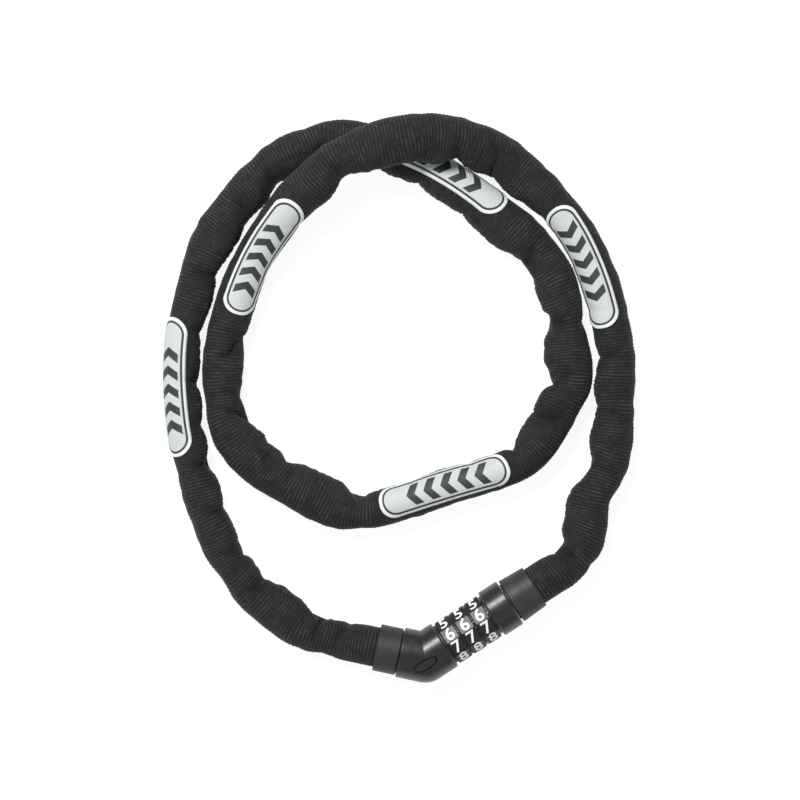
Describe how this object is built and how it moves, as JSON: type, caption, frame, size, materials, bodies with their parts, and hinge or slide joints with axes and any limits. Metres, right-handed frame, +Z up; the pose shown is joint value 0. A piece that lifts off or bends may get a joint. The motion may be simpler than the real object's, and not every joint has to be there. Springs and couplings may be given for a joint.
{
  "type": "chain bicycle lock",
  "caption": "Combination lock head with rotating numbered dials and a fabric-sleeved steel chain, lying in a loose double loop.",
  "frame": {"origin": "on the surface the lock lies on, straight below the spindle axis at the middle of the dials", "axes": "+X along the spindle from the elbow towards the bolt end, +Z up, the coiled chain lies towards +Y"},
  "size_m": [0.2159, 0.2272, 0.036],
  "materials": {
    "housing_plastic": "satin moulded black plastic",
    "collar_plastic": "matte moulded black plastic",
    "dial_plastic": "smooth black plastic with white digits",
    "ring_plastic": "matte black plastic",
    "core_steel": "turned steel",
    "bolt_steel": "bright plated steel",
    "code_brass": "stamped brass",
    "anchor_zinc": "die-cast metal",
    "spring_steel": "spring wire",
    "chain_steel": "plated link chain",
    "sleeve_textile": "black ribbed woven textile",
    "patch_textile": "pale grey reflective fabric"
  },
  "bodies": {
    "lock_body": {"elbow_housing": "housing_plastic", "left_collar": "collar_plastic", "nose_barrel": "housing_plastic", "anchor_block_left": "anchor_zinc", "anchor_pin_left": "core_steel", "core_tube": "core_steel", "core_pin": "core_steel", "eject_spring": "spring_steel", "throat_bush": "core_steel", "retaining_clip": "spring_steel", "chain_root": "chain_steel", "chain_flex": "chain_steel", "sleeve_root": "sleeve_textile", "sleeve_flex": "sleeve_textile", "spacer_1": "ring_plastic", "spacer_2": "ring_plastic", "spacer_3": "ring_plastic", "spacer_4": "ring_plastic", "detent_spring_1": "spring_steel", "detent_spring_2": "spring_steel", "detent_spring_3": "spring_steel", "patch_1": "patch_textile", "patch_2": "patch_textile", "patch_3": "patch_textile", "patch_4": "patch_textile", "patch_5": "patch_textile"},
    "first_dial": {"dial_1": "dial_plastic", "code_ring_1": "code_brass"},
    "second_dial": {"dial_2": "dial_plastic", "code_ring_2": "code_brass"},
    "third_dial": {"dial_3": "dial_plastic", "code_ring_3": "code_brass"},
    "bolt_end": {"bolt": "bolt_steel", "bolt_end_cap": "collar_plastic", "anchor_block_right": "anchor_zinc", "anchor_pin_right": "core_steel", "chain_bolt": "chain_steel", "sleeve_bolt": "sleeve_textile"}
  },
  "joints": [
    {"name": "bolt_slide", "type": "slide", "parent": "lock_body", "child": "bolt_end", "axis": [1, 0, 0], "range_m": [0, 0.036], "deforming": ["sleeve_flex", "chain_flex", "patch_5"]},
    {"name": "first_dial_turn", "type": "hinge", "parent": "lock_body", "child": "first_dial", "pos_m": [-0.0073, 0, 0.0106], "axis": [1, 0, 0], "continuous": true},
    {"name": "second_dial_turn", "type": "hinge", "parent": "lock_body", "child": "second_dial", "pos_m": [0, 0, 0.0106], "axis": [1, 0, 0], "continuous": true},
    {"name": "third_dial_turn", "type": "hinge", "parent": "lock_body", "child": "third_dial", "pos_m": [0.0073, 0, 0.0106], "axis": [1, 0, 0], "continuous": true}
  ]
}
